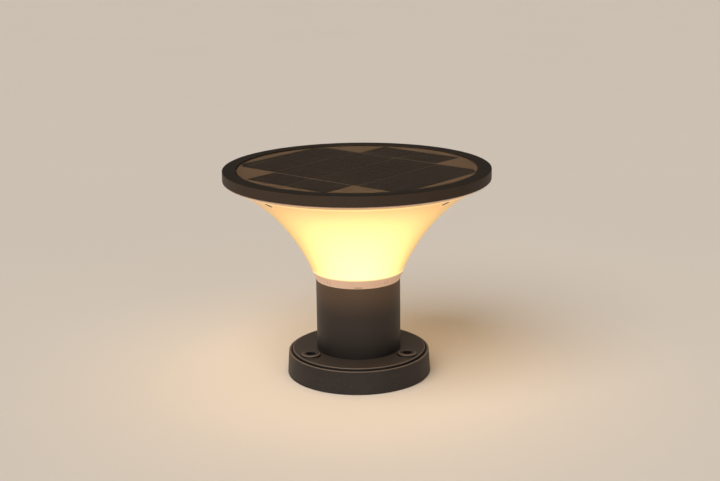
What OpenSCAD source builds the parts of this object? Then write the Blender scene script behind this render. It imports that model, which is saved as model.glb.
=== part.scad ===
// Solar pillar light for a deck post or a pier cap.
// A cast base carries a round column. A trumpet-shaped opal diffuser stands on the
// column and carries a cast ring with a round solar panel. The lights sit on top of
// the column and face up; the battery and the controller are inside the column.
// Millimetres. Origin: centre of the base's underside. +Z is up and -Y is the front.

/* [Base] */
// Diameter of the base at the floor
base_d = 137.4; // [134:0.2:170]
// Height of the base wall, from the floor to its rim
rim_h = 21.6; // [19:0.1:30]
// How far the base wall leans in over its height
wall_draft = 1; // [0:0.05:3]
// Wall thickness of the base casting
base_wall = 3.2; // [2.5:0.1:4]
// Thickness of the plate that closes the top of the base
plate_t = 3.5; // [3.2:0.1:5]
// Height of the raised disc above the rim
disc_lift = 2.2; // [1.5:0.1:4]
// Width of the land between the outer edge of the rim and the groove
rim_land = 3.9; // [1:0.05:5]
// Width of the groove between the rim and the raised disc
groove_w = 1.3; // [0.5:0.1:1.6]
// Depth of the groove below the rim
groove_depth = 0.9; // [0.5:0.1:1.8]
// Rounding of the rim and of the raised disc's edge
edge_round = 0.8; // [0.3:0.1:0.9]
// Number of stiffening ribs under the base
rib_count = 6; // [6:3:12]
// Thickness of a stiffening rib
rib_t = 2.4; // [1.8:0.1:4]
// How far the ribs reach below the plate
rib_drop = 12; // [6:0.5:14]

/* [Fixing holes] */
// Diameter of the circle that the fixing holes lie on
bolt_circle_d = 105; // [101:0.5:107]
// Diameter of a fixing hole
bolt_hole_d = 9; // [6:0.5:10]
// Diameter of the raised boss round a fixing hole
boss_d = 17.6; // [15:0.2:18.6]
// Height of a boss above the raised disc
boss_lift = 2.5; // [1:0.1:4]

/* [Column] */
// Outside diameter of the column
column_d = 80; // [78:0.5:84]
// Height of the column beyond the length of the battery cells in it
column_room = 4; // [3.4:0.1:80]
// Wall thickness of the column
column_wall = 2.5; // [1.8:0.1:3.2]
// Outside diameter of a screw port inside the column
port_d = 8.4; // [7:0.1:9]
// Gap between a screw port and the column wall, bridged by a web
port_gap = 0.8; // [0.4:0.1:1.2]
// Thread diameter of the screws in the ports
port_screw_d = 3.5; // [3:0.5:4]
// Head diameter of the screws in the ports
port_head_d = 6.4; // [5.6:0.1:6.6]
// Head height of the screws in the ports
port_head_h = 2.2; // [1.6:0.1:2.6]
// Length of thread in a port
port_bite = 10; // [6:0.5:14]

/* [Bottom cover] */
// Thickness of the cover under the base plate
cover_t = 3; // [2.8:0.1:4]
// Width of the cover's gasket
gasket_w = 2; // [1.2:0.1:2.4]
// Thickness of the cover's gasket
gasket_t = 1; // [0.6:0.1:1.6]
// Thread diameter of the cover screws
cover_screw_d = 3; // [2.5:0.5:3]
// Head diameter of the cover screws
cover_head_d = 5.6; // [5:0.1:6.4]
// Head height of the cover screws
cover_head_h = 2; // [1.4:0.1:2.4]
// Length of thread of a cover screw in the plate
cover_bite = 2.6; // [2:0.1:2.8]

/* [Power button] */
// Diameter of the button
button_d = 7; // [5:0.1:7.6]
// How far the button can be pressed
button_travel = 1.5; // [0.5:0.1:2]
// How far the button stands out of its switch
button_proud = 2.5; // [2.1:0.1:3]
// Outside diameter of the switch bush
bush_d = 9.8; // [9.4:0.1:10.6]
// Diameter of the switch's flange
switch_flange_d = 13; // [12:0.1:14]
// Thickness of the switch's flange
switch_flange_t = 1.5; // [1:0.1:2]
// Width of the switch's nut across its flats
nut_af = 12.7; // [12.2:0.1:13]
// Thickness of the switch's nut
nut_t = 1.8; // [1:0.1:1.9]
// Height of the switch above the cover
switch_h = 12; // [9:0.5:16]
// Distance of the button from the lamp's axis
switch_offset = 17; // [16.6:0.1:17.4]

/* [Battery and controller] */
// Diameter of a battery cell
cell_d = 18.3; // [14:0.1:18.6]
// Length of a battery cell
cell_len = 65.2; // [50:0.1:80]
// Smallest gap between two cells
cell_gap = 4.2; // [3.9:0.1:4.6]
// Thickness of a battery holder disc
holder_t = 3; // [2.6:0.1:3.2]
// Width of the holder outside the cells
holder_rim = 2.5; // [2:0.1:2.8]
// How far a cell sits in its cup in a holder disc
cup_depth = 1; // [0.6:0.1:1.4]
// Thickness of a battery contact tab
tab_t = 0.3; // [0.2:0.05:0.5]
// Diameter of the posts between the holder discs
post_d = 4; // [3:0.1:5]
// Thickness of a circuit board
board_t = 1.6; // [1:0.1:1.8]

/* [Column cap and lights] */
// Height of the cap on top of the column
cap_h = 6; // [5.8:0.1:8]
// Gap between the cap and the inside of the neck
cap_gap = 0.8; // [0.5:0.05:1]
// Section diameter of the cap's sealing ring
oring_d = 2; // [1.6:0.1:2.2]
// Depth of the pocket under the cap
cap_pocket = 2.5; // [2.3:0.1:3]
// Number of centring ribs round the cap
cap_rib_count = 9; // [6:1:12]
// Width of a centring rib
cap_rib_w = 1.6; // [1:0.1:3]
// Width of the cap's edge left bare round the light board
board_margin = 1.9; // [1:0.1:3]
// Number of lights in the outer circle
outer_lights = 16; // [8:1:20]
// Number of lights in the inner circle
inner_lights = 8; // [4:1:10]
// Side of a light's square package
light_w = 3; // [2:0.1:3.5]
// Height of a light's package
light_h = 0.8; // [0.5:0.1:1.5]

/* [Leads] */
// Diameter of the solar panel's lead
lead_d = 3; // [2:0.1:3.4]
// Diameter of a thin inner wire
wire_d = 1.4; // [1:0.1:1.6]
// Wall thickness of a lead grommet
grommet_wall = 1.6; // [1.2:0.1:2]
// Thickness of a lead grommet's flange
grommet_flange_t = 1.2; // [0.8:0.1:1.5]

/* [Diffuser] */
// Height of the diffuser
diffuser_h = 97; // [85:0.5:130]
// Wall thickness of the diffuser
diffuser_wall = 2.5; // [2:0.1:3]
// Sideways pull of the flare's curve at the neck, as a share of the flare's width
flare_lean = 0.31; // [0.25:0.01:0.38]
// Upward pull of the flare's curve at the neck, as a share of the flare's height
flare_rise = 0.7385; // [0.68:0.0005:0.8]
// Flat run of the flare's curve under the rim
flare_flat = 2.4; // [1:0.1:6]
// Thickness of the diffuser's edge at the rim
rim_edge_h = 1; // [0.6:0.1:1.5]
// Width of the flat land on top of the diffuser
land_w = 6.7; // [6:0.1:7.5]
// Thickness of the inward lip at the neck
neck_lip_t = 2; // [1.5:0.1:3]
// Thickness of a screw boss's floor in the diffuser
boss_floor = 4.5; // [4:0.1:5]

/* [Top ring] */
// Outside diameter of the top ring
ring_d = 250; // [244:1:280]
// Height of the top ring
ring_h = 10; // [9.5:0.1:14]
// Width of the ring's flat top face
ring_face_w = 12.4; // [11.8:0.1:14]
// Thickness of the ring's outer wall
ring_wall = 3; // [2.5:0.1:3.2]
// Rounding of the ring's outer edges
ring_round = 0.6; // [0.3:0.1:1]
// How far the ring stands out past the diffuser
ring_overhang = 1.3; // [0.8:0.1:1.4]
// Thickness of the shelf that carries the panel
shelf_t = 2.6; // [2.4:0.1:3]
// Width of the shelf under the panel's edge
shelf_w = 12.6; // [12.2:0.1:14]
// Thickness of the seal between ring and diffuser
seal_t = 1.2; // [0.8:0.1:1.5]
// Width of the seal between ring and diffuser
seal_w = 3; // [2:0.1:3.4]
// Thickness of the reflector plate
reflector_t = 1.6; // [1:0.1:2]
// Thread diameter of the ring's small screws
ring_screw_d = 3; // [2.5:0.5:3]
// Head diameter of the ring's small screws
ring_head_d = 5.6; // [4.8:0.1:5.8]
// Head height of the ring's small screws
ring_head_h = 2; // [1.4:0.1:2.2]
// Distance of the flange screws from the ring's outside
flange_screw_inset = 15.5; // [15.2:0.1:16]

/* [Solar panel] */
// Thickness of the panel's glass
glass_t = 2; // [1.5:0.1:2.2]
// Distance of the glass below the ring's top face
glass_drop = 0.8; // [0.4:0.1:1.2]
// Thickness of the panel's back sheet
backsheet_t = 0.8; // [0.6:0.1:1]
// Thickness of a solar cell
wafer_t = 0.2; // [0.15:0.05:0.3]
// Thickness of a collecting ribbon
ribbon_t = 0.1; // [0.1:0.05:0.2]
// Width of a collecting ribbon
ribbon_w = 1.2; // [0.8:0.1:2]
// Thickness of the adhesive bead under the panel
bead_t = 0.5; // [0.3:0.1:0.8]
// Gap between two strips of cells
strip_gap = 1.3; // [0.8:0.1:3]
// Gap between two cells of one strip
cell_split = 0.4; // [0.3:0.1:1]
// Bare width between the outer strips and the panel's edge
strip_margin = 12.5; // [10:0.1:16]
// Length of the cut corners of the outer strips
corner_cut = 9; // [6:0.5:12]
// Half width of the two cells at each end of the panel
end_cell_w = 46.5; // [40:0.5:48]
// Gap between the strips and the end cells
end_gap = 2.4; // [1:0.1:4]
// Bare width between the end cells' corners and the panel's edge
end_margin = 3.4; // [2:0.1:6]
// Turn of the cell pattern about the lamp's axis
panel_turn = -40.2; // [-90:0.1:90]

/* [Clearances] */
// Gap between the panel and its recess in the ring
panel_gap = 0.5; // [0.2:0.1:0.8]
// Gap between the button and its bush
button_gap = 0.25; // [0.15:0.05:0.3]
// Gap between the battery holder and the hatch in the base
hatch_gap = 0.8; // [0.4:0.1:1]
// Gap round a screw where it only passes through
screw_gap = 0.2; // [0.1:0.05:0.3]
// Gap round a screw head in its pocket
head_gap = 0.4; // [0.2:0.05:0.5]
// Gap round a wire or a pin in its hole
wire_gap = 0.5; // [0.3:0.1:0.8]

/* [Hidden] */
$fn = 96;
smooth = 180;

charcoal = [0.17, 0.16, 0.16];
opal = [1.0, 0.86, 0.58];
white_part = [0.93, 0.92, 0.89];
dark_cell = [0.09, 0.09, 0.12];
steel = [0.72, 0.72, 0.74];
silver = [0.80, 0.80, 0.80];
black_rubber = [0.07, 0.07, 0.07];
board_green = [0.08, 0.30, 0.16];
cell_wrap = [0.16, 0.33, 0.60];
clear_glass = [0.75, 0.82, 0.85, 0.35];

// How far a cut runs past the face that it opens
over = 1;
// Small steps and edges
post_draft = 0.8;
cover_edge = 2;
gasket_edge = 0.5;
post_inset = 2.6;
tab_inset = 2;
button_reach = 2;
button_end_gap = 0.5;
seat_step = 0.2;
groove_slack = 0.2;
groove_floor = 0.8;
groove_roof = 0.6;
lip_step = 0.3;
cap_pocket_edge = 1;
cap_rib_gap = 0.2;
head_sink = 0.2;
lights_edge = 4.5;
lights_gap = 11.6;
wire_space = 0.8;
solder_h = 0.6;
grommet_flange_w = 1.2;
seal_step = 0.2;
rib_press_w = 2;
ring_roof_t = 3;
rim_step = 0.3;
boss_wall = 3;
thread_cover = 1.1;
thin_cover = 0.6;
plate_gap = 0.4;
terminal_gap = 0.2;
terminal_w = 14;
terminal_d = 10;
cell_edge = 0.5;
bead_edge = 1;

// Parts of the control board: width, depth and height, or diameter and height
chip_size = [6, 6, 1.2];
chip_r = 10;
plug_size = [7, 5, 2.5];
led_plug_size = [6, 5, 2.5];
diode_size = [5, 4, 1.5];
socket_size = [6, 3, 2];
coil_size = [8, 3];
can_size = [5, 4.4];
board_parts_r = 14.5;

// Heights of the seats, from the floor up
column_h = cell_len + column_room;
plate_top_z = rim_h + disc_lift;
plate_z = plate_top_z - plate_t;
cover_z = plate_z - cover_t;
neck_z = plate_top_z + column_h;
lip_top_z = neck_z + neck_lip_t;
cap_top_z = lip_top_z + cap_h;
lights_z = cap_top_z + board_t;
flange_z = neck_z + diffuser_h;
ring_top_z = flange_z + ring_h;
glass_z = ring_top_z - glass_drop - glass_t;
ribbon_z = glass_z - ribbon_t;
wafer_z = ribbon_z - wafer_t;
backsheet_z = wafer_z - backsheet_t;
shelf_top_z = backsheet_z - bead_t;
shelf_z = shelf_top_z - shelf_t;
reflector_z = shelf_z - reflector_t;

// Base casting, from the outside inwards
rib_start_angle = 30;
base_r = base_d / 2;
rim_r = base_r - wall_draft;
disc_r = rim_r - rim_land - groove_w;
bolt_r = bolt_circle_d / 2;
bolt_angles = [-150, -30, 90];

// Column and its screw ports
column_r = column_d / 2;
bore_r = column_r - column_wall;
port_r = bore_r - port_gap - port_d / 2;
port_reach_r = port_r - port_d / 2;
port_angles = [-90, 30, 150];
cover_screw_angles = [-30, 90, 210];
web_w = port_d / 2;

// Battery, hatch and bottom cover
cell_r = cell_d / 2;
cell_ring_r = (cell_d + cell_gap) / (2 * sin(60));
cell_angles = [-30, 90, 210];
holder_r = cell_ring_r + cell_r + holder_rim;
hatch_r = holder_r + hatch_gap;
gasket_in_r = hatch_r + gasket_edge;
cover_r = port_r + port_head_d / 2 + cover_edge;
cell_z = plate_z + holder_t - cup_depth;
cell_top_z = cell_z + cell_len;
upper_holder_z = cell_top_z - cup_depth;
board_z = upper_holder_z + holder_t;
components_z = board_z + board_t;
holder_post_r = holder_r - post_d / 2 - post_inset;
holder_post_angles = [30, 150];
tab_r = cell_r - tab_inset;
battery_wire_angles = [90, 210];

// Power button
button_z = cover_z - switch_flange_t - button_proud;
button_inner_h = switch_flange_t + cover_t + button_reach;
switch_pin_h = 2;
nut_r = nut_af / 2 / cos(30);

// Column cap, its sealing ring and the light board
seat_r = bore_r + seat_step;
cap_r = seat_r - cap_gap;
groove_r = seat_r - oring_d;
groove_h = oring_d + groove_slack;
oring_z = lip_top_z + groove_floor + groove_h / 2;
lip_in_r = port_reach_r - lip_step;
pocket_r = lip_in_r - cap_pocket_edge;
cap_head_z = cap_top_z - port_head_h - head_sink;
led_board_r = cap_r - board_margin;
outer_lights_r = led_board_r - lights_edge;
inner_lights_r = outer_lights_r - lights_gap;
inner_lights_angle = 22.5;
led_screw_r = (outer_lights_r + inner_lights_r) / 2;
led_screw_angles = [30, 150, 270];
led_screw_len = board_t + cap_h - cap_pocket - head_sink;
led_wire_x = 10;
wire_pitch = wire_d + wire_space;
wire_hole_r = wire_pitch / 2 + wire_d / 2 + wire_gap;

// Leads
lead_r = lead_d / 2;
grommet_r = lead_r + grommet_wall;
grommet_flange_r = grommet_r + grommet_flange_w;
lead_foot_z = components_z + plug_size[2];

// Diffuser outline in radius and height
flare_r = ring_d / 2 - ring_overhang;
flare_top_z = flange_z - rim_edge_h;
flare_points = [
    [column_r, neck_z],
    [column_r + flare_lean * (flare_r - column_r), neck_z + flare_rise * (flare_top_z - neck_z)],
    [flare_r - flare_flat, flare_top_z],
    [flare_r, flare_top_z]
];
flare_steps = 32;
land_r = flare_r - land_w;
seat_top_z = oring_z + groove_h / 2 + groove_roof;

// Top ring and its screws
ring_r = ring_d / 2;
recess_r = ring_r - ring_face_w;
shelf_r = recess_r - shelf_w;
seal_r = land_r + seal_step;
rib_press_r = seal_r + seal_w / 2;
flange_screw_r = ring_r - flange_screw_inset;
flange_screw_angles = [-135, -45, 45, 135];
flange_boss_r = ring_screw_d / 2 + boss_wall;
flange_head_z = flange_z - boss_floor;
flange_thread = shelf_top_z - flange_z - thread_cover;
reflector_r = flange_screw_r - flange_boss_r - plate_gap;
reflector_screw_r = (shelf_r + reflector_r) / 2;
reflector_screw_angles = [0, 90, 180, 270];
reflector_bite = shelf_t - thin_cover;
reflector_head_trim = 1.2;

// Solar panel pattern
panel_r = recess_r - panel_gap;
edge_r = panel_r - cell_edge;
reach_u = panel_r - strip_margin;
strip_w = (2 * reach_u - 3 * strip_gap) / 4;
reach_v = corner_cut + sqrt(edge_r * edge_r - reach_u * reach_u);
wafer_v = (2 * reach_v - 2 * cell_split) / 3;
end_v = sqrt(pow(panel_r - end_margin, 2) - end_cell_w * end_cell_w);
strip_pitch = strip_w + strip_gap;

// Cubic curve through a list of four control points
function curve_at(p, t) =
    pow(1 - t, 3) * p[0] + 3 * pow(1 - t, 2) * t * p[1]
    + 3 * (1 - t) * t * t * p[2] + pow(t, 3) * p[3];

// Direction of that curve
function curve_dir(p, t) =
    3 * pow(1 - t, 2) * (p[1] - p[0]) + 6 * (1 - t) * t * (p[2] - p[1])
    + 3 * t * t * (p[3] - p[2]);

// Unit vector that points from the flare's outside into its wall
function inward(d) = [-d[1], d[0]] / norm(d);

outer_line = [for (i = [0:flare_steps]) curve_at(flare_points, i / flare_steps)];
inner_line = [
    for (i = [0:flare_steps])
        let (t = i / flare_steps)
            curve_at(flare_points, t) + diffuser_wall * inward(curve_dir(flare_points, t))
];
inner_kept = [
    for (i = [flare_steps:-1:0])
        let (p = inner_line[i])
            if (p[0] > seat_r && p[0] < land_r && p[1] > seat_top_z + over && p[1] < flange_z) p
];

// Puts a copy of its children at each angle, at a radius from the lamp's axis
module around(angles, radius) {
    for (a = angles)
        rotate([0, 0, a]) translate([radius, 0, 0]) children();
}

// Angles of a full circle of equal steps
function circle_of(count, start = 0) = [for (i = [0:count - 1]) start + i * 360 / count];

// Flat ring that stands on z = 0
module flat_ring(outer, inner, height) {
    difference() {
        cylinder(r = outer, h = height, $fn = smooth);
        drill(2 * inner, 0, height);
    }
}

// Round cut from one height to another, which runs past both
module drill(d, low, high) {
    translate([0, 0, low - over]) cylinder(d = d, h = high - low + 2 * over, $fn = smooth);
}

// Round cut that opens downwards at low and stops at high
module drill_from_below(d, low, high) {
    translate([0, 0, low - over]) cylinder(d = d, h = high - low + over);
}

// Round cut that stops at low and opens upwards at high
module drill_from_above(d, low, high) {
    translate([0, 0, low]) cylinder(d = d, h = high - low + over);
}

// Puts its children at an angle and a radius on the control board, unturned
module on_board(angle, radius) {
    translate([radius * cos(angle), radius * sin(angle), 0]) children();
}

// Block centred on the z axis that stands on z = 0
module block(size) {
    translate([-size[0] / 2, -size[1] / 2, 0]) cube(size);
}

// Screw with its seat on z = 0, its thread above and its head below
module screw_up(thread_d, head_d, head_h, length) {
    cylinder(d = thread_d, h = length);
    difference() {
        translate([0, 0, -head_h]) cylinder(d = head_d, h = head_h);
        translate([0, 0, -head_h - over]) cylinder(d = head_d / 2, h = head_h / 2 + over, $fn = 6);
    }
}

// Screw with its seat on z = 0, its thread below and its head above
module screw_down(thread_d, head_d, head_h, length) {
    mirror([0, 0, 1]) screw_up(thread_d, head_d, head_h, length);
}

// Two wires side by side in x, which rise from z = 0
module wire_pair(length) {
    for (side = [-1, 1])
        translate([side * wire_pitch / 2, 0, 0]) cylinder(d = wire_d, h = length);
}

// Sleeve with its flange below z = 0 and its body above
module grommet(body_h) {
    difference() {
        union() {
            cylinder(r = grommet_r, h = body_h);
            translate([0, 0, -grommet_flange_t]) cylinder(r = grommet_flange_r, h = grommet_flange_t);
        }
        drill(lead_d, -grommet_flange_t, body_h);
    }
}

// Cast base: drafted wall, rim, groove, raised disc, bolt bosses and ribs
module base_flange() {
    wall_in_r = base_r - base_wall;
    rib_start_r = cover_r + 1;
    rib_fuse = max(0, (rim_h - groove_depth - plate_z) / 2);
    outline = [
        [wall_in_r, 0],
        [base_r - edge_round, 0],
        [base_r, edge_round],
        [rim_r, rim_h - edge_round],
        [rim_r - edge_round, rim_h],
        [disc_r + groove_w, rim_h],
        [disc_r + groove_w, rim_h - groove_depth],
        [disc_r, rim_h - groove_depth],
        [disc_r, plate_top_z - edge_round],
        [disc_r - edge_round, plate_top_z],
        [hatch_r, plate_top_z],
        [hatch_r, plate_z],
        [disc_r - base_wall, plate_z]
    ];
    color(charcoal) difference() {
        union() {
            rotate_extrude($fn = smooth) polygon(outline);
            around(bolt_angles, bolt_r) {
                cylinder(d = boss_d - 2 * post_draft, h = plate_top_z);
                translate([0, 0, plate_top_z - over]) cylinder(d = boss_d, h = over + boss_lift);
            }
            around(circle_of(rib_count, rib_start_angle), rib_start_r)
                translate([0, -rib_t / 2, plate_z - rib_drop])
                    cube([wall_in_r - rib_start_r, rib_t, rib_drop + rib_fuse]);
        }
        around(bolt_angles, bolt_r) drill(bolt_hole_d, 0, plate_top_z + boss_lift);
        around(port_angles, port_r) drill(port_screw_d + 2 * screw_gap, plate_z, plate_top_z);
        around(cover_screw_angles, port_r)
            drill_from_below(cover_screw_d, plate_z, plate_z + cover_bite);
    }
}

// Cover that closes the battery hatch from below and carries the power switch
module bottom_cover() {
    color(charcoal) difference() {
        translate([0, 0, cover_z]) cylinder(r = cover_r, h = cover_t, $fn = smooth);
        translate([0, 0, plate_z - gasket_t])
            flat_ring(gasket_in_r + gasket_w, gasket_in_r, gasket_t + over);
        around(port_angles, port_r) drill(port_head_d + 2 * head_gap, cover_z, plate_z);
        around(cover_screw_angles, port_r) drill(cover_screw_d + 2 * screw_gap, cover_z, plate_z);
        translate([0, -switch_offset, 0]) drill(bush_d, cover_z, plate_z);
    }
}

// Flat seal in the cover's groove
module cover_gasket() {
    color(black_rubber) translate([0, 0, plate_z - gasket_t])
        flat_ring(gasket_in_r + gasket_w, gasket_in_r, gasket_t);
}

// Screws that hold the cover to the base plate
module cover_screws() {
    color(steel) around(cover_screw_angles, port_r) translate([0, 0, cover_z])
        screw_up(cover_screw_d, cover_head_d, cover_head_h, cover_t + cover_bite);
}

// Sealed push switch: flange below the cover, bush through it, body above it
module switch_body() {
    pin = [0.8, 1.6, switch_pin_h];
    bore_h = button_inner_h + button_travel + button_end_gap;
    pin_z = switch_flange_t + cover_t + switch_h;
    color(silver) translate([0, -switch_offset, cover_z - switch_flange_t]) difference() {
        union() {
            cylinder(d = switch_flange_d, h = switch_flange_t);
            cylinder(d = bush_d, h = pin_z);
            for (side = [-1, 1])
                translate([side * wire_pitch / 2, 0, pin_z]) block(pin);
        }
        drill_from_below(button_d + 2 * button_gap, 0, bore_h);
    }
}

// Hexagonal nut that clamps the switch to the cover
module switch_nut() {
    color(silver) translate([0, -switch_offset, plate_z]) difference() {
        cylinder(r = nut_r, h = nut_t, $fn = 6);
        drill(bush_d, 0, nut_t);
    }
}

// Button that slides up into the switch
module button_cap() {
    dish_r = button_d;
    dish_depth = 0.5;
    color(black_rubber) translate([0, -switch_offset, button_z]) difference() {
        cylinder(d = button_d, h = button_proud + button_inner_h);
        translate([0, 0, dish_depth - dish_r]) sphere(r = dish_r);
    }
}

// Column with three screw ports along its inside
module column_tube() {
    color(charcoal) translate([0, 0, plate_top_z]) linear_extrude(column_h) difference() {
        union() {
            difference() {
                circle(r = column_r, $fn = smooth);
                circle(r = bore_r, $fn = smooth);
            }
            around(port_angles, port_r) {
                circle(d = port_d);
                translate([0, -web_w / 2]) square([bore_r - port_r + over, web_w]);
            }
        }
        around(port_angles, port_r) circle(d = port_screw_d);
    }
}

// Screws from below that hold the column to the base plate
module base_screws() {
    color(steel) around(port_angles, port_r) translate([0, 0, plate_z])
        screw_up(port_screw_d, port_head_d, port_head_h, plate_t + port_bite);
}

// Lower battery disc with its two posts, on the bottom cover
module battery_holder_lower() {
    color(black_rubber) difference() {
        union() {
            translate([0, 0, plate_z]) cylinder(r = holder_r, h = holder_t);
            around(holder_post_angles, holder_post_r)
                translate([0, 0, plate_z]) cylinder(d = post_d, h = upper_holder_z - plate_z);
        }
        around(cell_angles, cell_ring_r) {
            drill_from_above(cell_d, cell_z, cell_z + cup_depth);
            drill_from_above(2 * tab_r, cell_z - tab_t, cell_z);
        }
        translate([0, -switch_offset, 0]) drill(2 * (nut_r + wire_gap), plate_z, plate_z + holder_t);
    }
}

// Upper battery disc, on the posts
module battery_holder_upper() {
    color(black_rubber) difference() {
        translate([0, 0, upper_holder_z]) cylinder(r = holder_r, h = holder_t);
        around(cell_angles, cell_ring_r) {
            drill_from_below(cell_d, upper_holder_z, cell_top_z);
            drill_from_below(2 * tab_r, upper_holder_z, cell_top_z + tab_t);
        }
        around(battery_wire_angles, cell_ring_r) drill(wire_d, upper_holder_z, board_z);
        translate([0, -switch_offset, 0]) drill(2 * wire_hole_r, upper_holder_z, board_z);
    }
}

// Three rechargeable cells
module battery_cells() {
    color(cell_wrap) around(cell_angles, cell_ring_r)
        translate([0, 0, cell_z]) cylinder(d = cell_d, h = cell_len);
}

// Contact tabs under and over each cell
module battery_tabs() {
    color(silver) around(cell_angles, cell_ring_r) {
        translate([0, 0, cell_z - tab_t]) cylinder(r = tab_r, h = tab_t);
        translate([0, 0, cell_top_z]) cylinder(r = tab_r, h = tab_t);
    }
}

// Two wires from the upper tabs to the control board
module battery_lead() {
    color("firebrick") around(battery_wire_angles, cell_ring_r)
        translate([0, 0, cell_top_z + tab_t]) cylinder(d = wire_d, h = board_z - cell_top_z - tab_t);
}

// Two wires from the switch up to the control board
module switch_lead() {
    start_z = plate_z + switch_h + switch_pin_h;
    color("firebrick") translate([0, -switch_offset, start_z]) wire_pair(board_z - start_z);
}

// Charge and light controller board
module control_board() {
    color(board_green) translate([0, 0, board_z]) cylinder(r = holder_r, h = board_t);
}

// Parts on the control board, among them the plugs of the two leads
module control_components() {
    color([0.15, 0.15, 0.16]) translate([0, 0, components_z]) {
        on_board(0, 0) block(plug_size);
        on_board(0, led_wire_x) block(led_plug_size);
        on_board(90, chip_r) block(chip_size);
        on_board(200, board_parts_r) block(diode_size);
        on_board(245, board_parts_r) block(socket_size);
        on_board(145, board_parts_r) cylinder(d = coil_size[0], h = coil_size[1]);
        for (angle = [-60, 40]) on_board(angle, board_parts_r) cylinder(d = can_size[0], h = can_size[1]);
    }
}

// Cap on top of the column: light support, heat sink and seal carrier
module column_cap() {
    color(silver) difference() {
        union() {
            translate([0, 0, lip_top_z]) cylinder(r = cap_r, h = cap_h, $fn = smooth);
            around(circle_of(cap_rib_count, -90), 0)
                translate([cap_r - over, -cap_rib_w / 2, seat_top_z])
                    cube([over + cap_gap - cap_rib_gap, cap_rib_w, cap_top_z - seat_top_z]);
        }
        drill_from_below(2 * pocket_r, lip_top_z, lip_top_z + cap_pocket);
        translate([0, 0, oring_z - groove_h / 2]) flat_ring(cap_r + over, groove_r, groove_h);
        drill(2 * grommet_r, lip_top_z, cap_top_z);
        translate([led_wire_x, 0, 0]) drill(2 * wire_hole_r, lip_top_z, cap_top_z);
        around(port_angles, port_r) {
            drill(port_screw_d + 2 * screw_gap, lip_top_z, cap_top_z);
            drill_from_above(port_head_d + 2 * head_gap, cap_head_z, cap_top_z);
        }
        around(led_screw_angles, led_screw_r) drill(cover_screw_d, lip_top_z, cap_top_z);
    }
}

// Screws that clamp the cap and the diffuser's lip to the column
module cap_screws() {
    color(steel) around(port_angles, port_r) translate([0, 0, cap_head_z])
        screw_down(port_screw_d, port_head_d, port_head_h, cap_head_z - neck_z + port_bite);
}

// Sealing ring between the cap and the neck
module neck_oring() {
    color(black_rubber) translate([0, 0, oring_z]) rotate_extrude($fn = smooth)
        translate([seat_r - oring_d / 2, 0]) circle(d = oring_d, $fn = 32);
}

// Sleeve of the panel's lead in the cap
module cap_grommet() {
    color(black_rubber) translate([0, 0, cap_top_z]) mirror([0, 0, 1]) grommet(cap_h - cap_pocket);
}

// Round board that carries the lights
module led_board() {
    color(white_part) difference() {
        translate([0, 0, cap_top_z]) cylinder(r = led_board_r, h = board_t);
        drill(2 * (grommet_flange_r + wire_gap), cap_top_z, lights_z);
        translate([led_wire_x, 0, 0]) drill(2 * wire_hole_r, cap_top_z, lights_z);
        around(led_screw_angles, led_screw_r)
            drill(cover_screw_d + 2 * screw_gap, cap_top_z, lights_z);
    }
}

// Two circles of small lights
module led_chips() {
    light = [light_w, light_w, light_h];
    color("khaki") translate([0, 0, lights_z + light_h / 2]) {
        around(circle_of(outer_lights), outer_lights_r) cube(light, center = true);
        around(circle_of(inner_lights, inner_lights_angle), inner_lights_r) cube(light, center = true);
    }
}

// Screws that hold the light board to the cap
module led_screws() {
    color(steel) around(led_screw_angles, led_screw_r) translate([0, 0, lights_z])
        screw_down(cover_screw_d, cover_head_d, cover_head_h, led_screw_len);
}

// Two wires from the control board to the light board
module led_lead() {
    color("firebrick") translate([led_wire_x, 0, lead_foot_z])
        wire_pair(lights_z + solder_h - lead_foot_z);
}

// Opal trumpet with a clamped lip at the neck and four screw bosses under the ring
module diffuser() {
    outline = concat(
        [[lip_in_r, neck_z]],
        outer_line,
        [[flare_r - rim_step, flange_z], [land_r, flange_z]],
        inner_kept,
        [[seat_r, seat_top_z], [seat_r, lip_top_z], [lip_in_r, lip_top_z]]
    );
    filled = concat([[0, neck_z]], outer_line, [[flare_r - rim_step, flange_z], [0, flange_z]]);
    boss_h = 20;
    color(opal) difference() {
        union() {
            rotate_extrude($fn = smooth) polygon(outline);
            intersection() {
                rotate_extrude($fn = smooth) polygon(filled);
                around(flange_screw_angles, flange_screw_r)
                    translate([0, 0, flange_z - boss_h]) cylinder(r = flange_boss_r + 1, h = boss_h);
            }
        }
        around(flange_screw_angles, flange_screw_r) {
            drill_from_below(ring_head_d + 2 * head_gap, flange_z - boss_h, flange_head_z);
            drill(ring_screw_d + 2 * screw_gap, flange_z - boss_h, flange_z);
        }
        around(port_angles, port_r) drill(port_screw_d + 2 * screw_gap, neck_z, lip_top_z);
    }
}

// Screws from below that hold the diffuser to the ring
module flange_screws() {
    color(steel) around(flange_screw_angles, flange_screw_r) translate([0, 0, flange_head_z])
        screw_up(ring_screw_d, ring_head_d, ring_head_h, boss_floor + flange_thread);
}

// Flat seal between the diffuser's land and the ring
module flange_seal() {
    color(black_rubber) translate([0, 0, flange_z]) flat_ring(seal_r + seal_w, seal_r, seal_t);
}

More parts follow.
